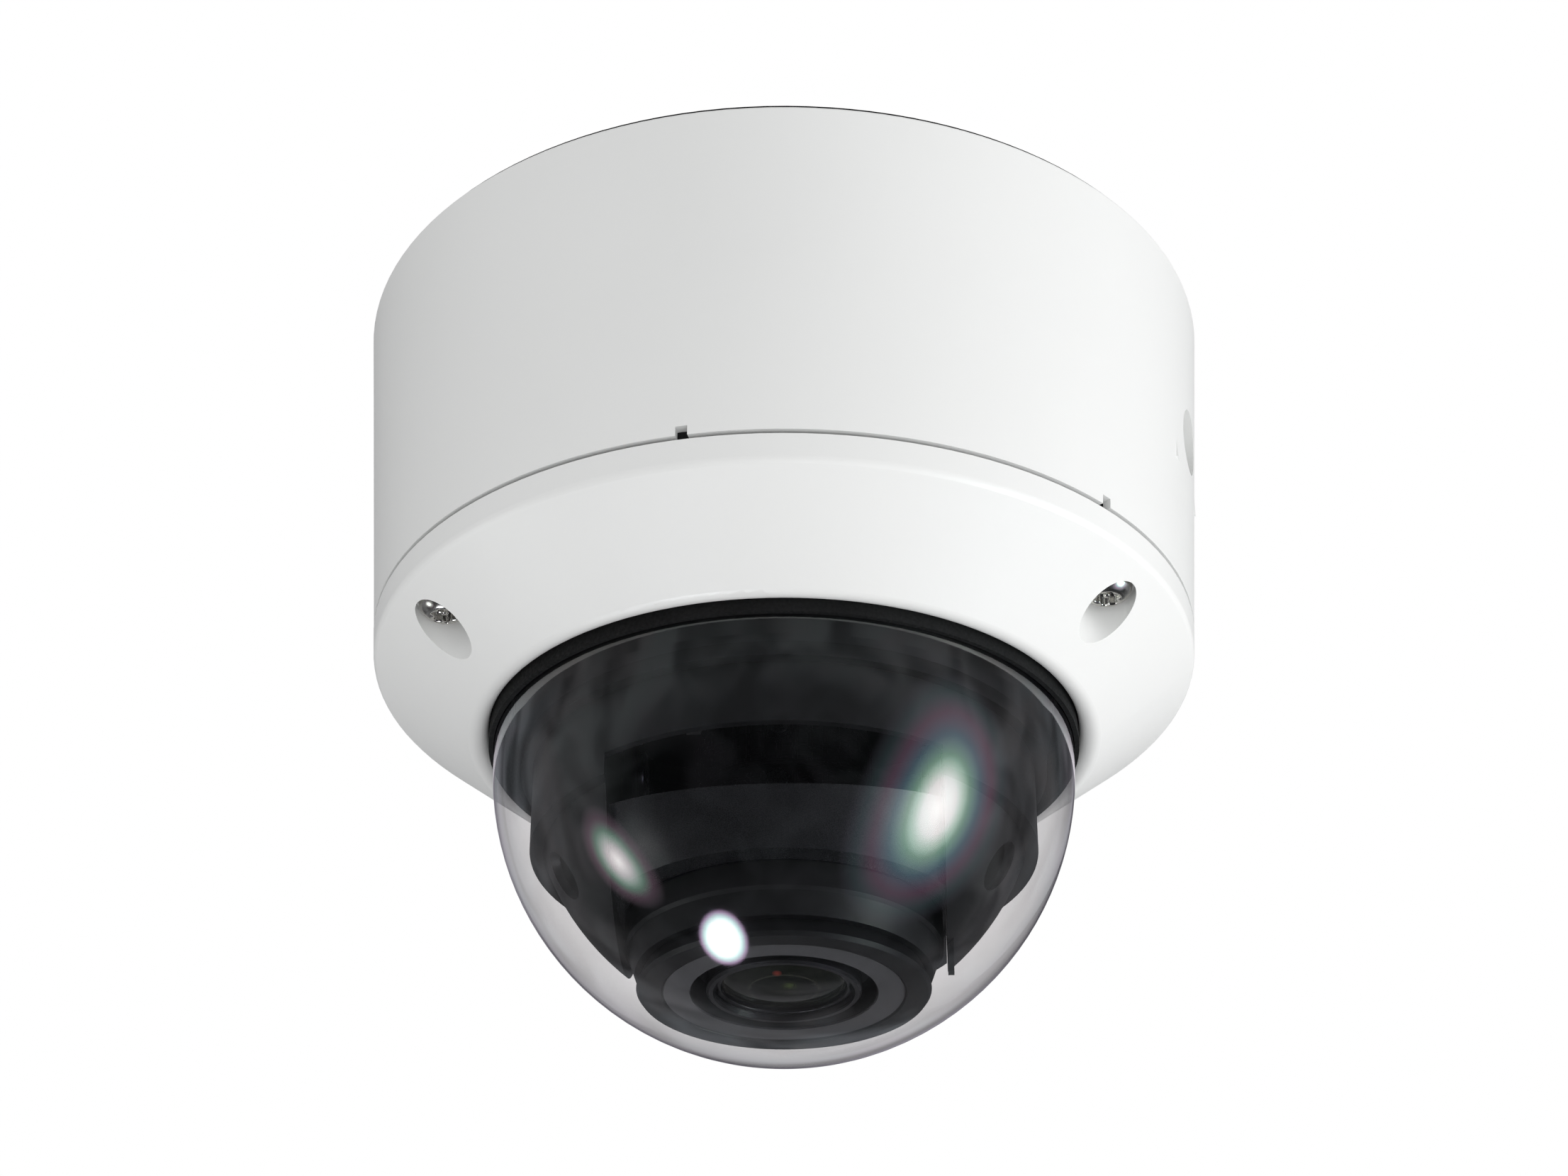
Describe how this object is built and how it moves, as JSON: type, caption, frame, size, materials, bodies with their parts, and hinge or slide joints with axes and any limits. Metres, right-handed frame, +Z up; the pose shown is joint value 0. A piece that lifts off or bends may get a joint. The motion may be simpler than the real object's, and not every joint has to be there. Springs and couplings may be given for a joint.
{
  "type": "dome cctv camera",
  "caption": "Ceiling dome camera: tapered metal base, conical cover, clear bubble, and a lens module that pans, tilts and rolls inside.",
  "frame": {"origin": "centre of the face that rests against the ceiling", "axes": "+Z up into the ceiling along the camera's axis, camera hangs towards -Z, lens tilts towards +Y"},
  "size_m": [0.1478, 0.1478, 0.1325],
  "materials": {
    "white_paint": "fine-textured satin powder coat",
    "plate_steel": "zinc plated",
    "screw_steel": "polished",
    "black_rubber": "matt",
    "clear_dome": "clear, polished",
    "black_plastic": "fine-grained satin",
    "gloss_black": "smooth semi-gloss",
    "anodised_black": "black anodised",
    "lens_glass": "coated",
    "shade_felt": "matt flock",
    "circuit_board": "solder mask",
    "brass": "nickel-free turned",
    "shield_steel": "bright tinned",
    "chip_black": "moulded epoxy",
    "heat_aluminium": "extruded",
    "grey_pad": "soft",
    "terminal_green": "moulded",
    "capacitor_skin": "sleeved",
    "sensor_face": "cover glass",
    "filter_glass": "polished",
    "button_white": "moulded"
  },
  "bodies": {
    "base": {"mount_plate": "plate_steel", "ceiling_seal": "black_rubber", "base_housing": "white_paint", "lock_screw": "screw_steel", "cable_grommet": "black_rubber", "top_cover": "white_paint", "cover_seal": "black_rubber", "cover_screws": "screw_steel", "dome_bubble": "clear_dome", "dome_gasket": "black_rubber", "dome_ring": "black_plastic", "dome_ring_screws": "plate_steel", "upper_liner": "black_plastic", "main_board": "circuit_board", "board_standoffs": "brass", "board_screws": "plate_steel", "ethernet_jack": "shield_steel", "power_terminal": "terminal_green", "processor": "chip_black", "thermal_pad": "grey_pad", "heat_sink": "heat_aluminium", "card_slot": "shield_steel", "capacitors": "capacitor_skin", "flex_connector": "chip_black", "reset_switch": "chip_black", "pan_base": "black_plastic", "pan_base_screws": "plate_steel", "pan_retainer": "black_plastic", "pan_retainer_screws": "plate_steel"},
    "pan": {"pan_ring": "black_plastic", "yoke_arm_left": "black_plastic", "yoke_arm_right": "black_plastic", "liner": "black_plastic", "yoke_screws": "plate_steel", "tilt_lock_screws": "plate_steel"},
    "tilt": {"tilt_frame": "black_plastic", "tilt_pivots": "plate_steel", "tilt_drum": "gloss_black"},
    "roll": {"lens_housing": "black_plastic", "roll_clip": "plate_steel", "front_cap": "black_plastic", "shade_ring": "shade_felt", "lens_bracket": "anodised_black", "lens_front_barrel": "anodised_black", "lens_rear_barrel": "anodised_black", "front_lens": "lens_glass", "rear_lens": "lens_glass", "lens_mount": "black_plastic", "ir_filter": "filter_glass", "filter_motor": "chip_black", "sensor_board": "circuit_board", "sensor_screws": "plate_steel", "image_sensor": "sensor_face", "sensor_connector": "chip_black"},
    "focus": {"focus_ring": "anodised_black", "focus_lever": "gloss_black"},
    "zoom": {"zoom_ring": "anodised_black", "zoom_lever": "gloss_black"},
    "reset": {"reset_button": "button_white"}
  },
  "joints": [
    {"name": "pan_swivel", "type": "hinge", "parent": "base", "child": "pan", "pos_m": [0, 0, -0.06], "axis": [0, 0, 1], "range_deg": [-175, 175]},
    {"name": "tilt_hinge", "type": "hinge", "parent": "pan", "child": "tilt", "pos_m": [0, 0, -0.0838], "axis": [1, 0, 0], "range_deg": [0, 70]},
    {"name": "lens_roll", "type": "hinge", "parent": "tilt", "child": "roll", "pos_m": [0, 0, -0.107], "axis": [0, 0, 1], "range_deg": [-175, 175]},
    {"name": "focus_turn", "type": "hinge", "parent": "roll", "child": "focus", "pos_m": [0, 0, -0.094], "axis": [0, 0, 1], "range_deg": [-60, 60]},
    {"name": "zoom_turn", "type": "hinge", "parent": "roll", "child": "zoom", "pos_m": [0, 0, -0.084], "axis": [0, 0, 1], "range_deg": [-45, 45]},
    {"name": "reset_press", "type": "slide", "parent": "base", "child": "reset", "axis": [0, 0, 1], "range_m": [0, 0.00025], "stiffness_N_per_m": 2000}
  ]
}
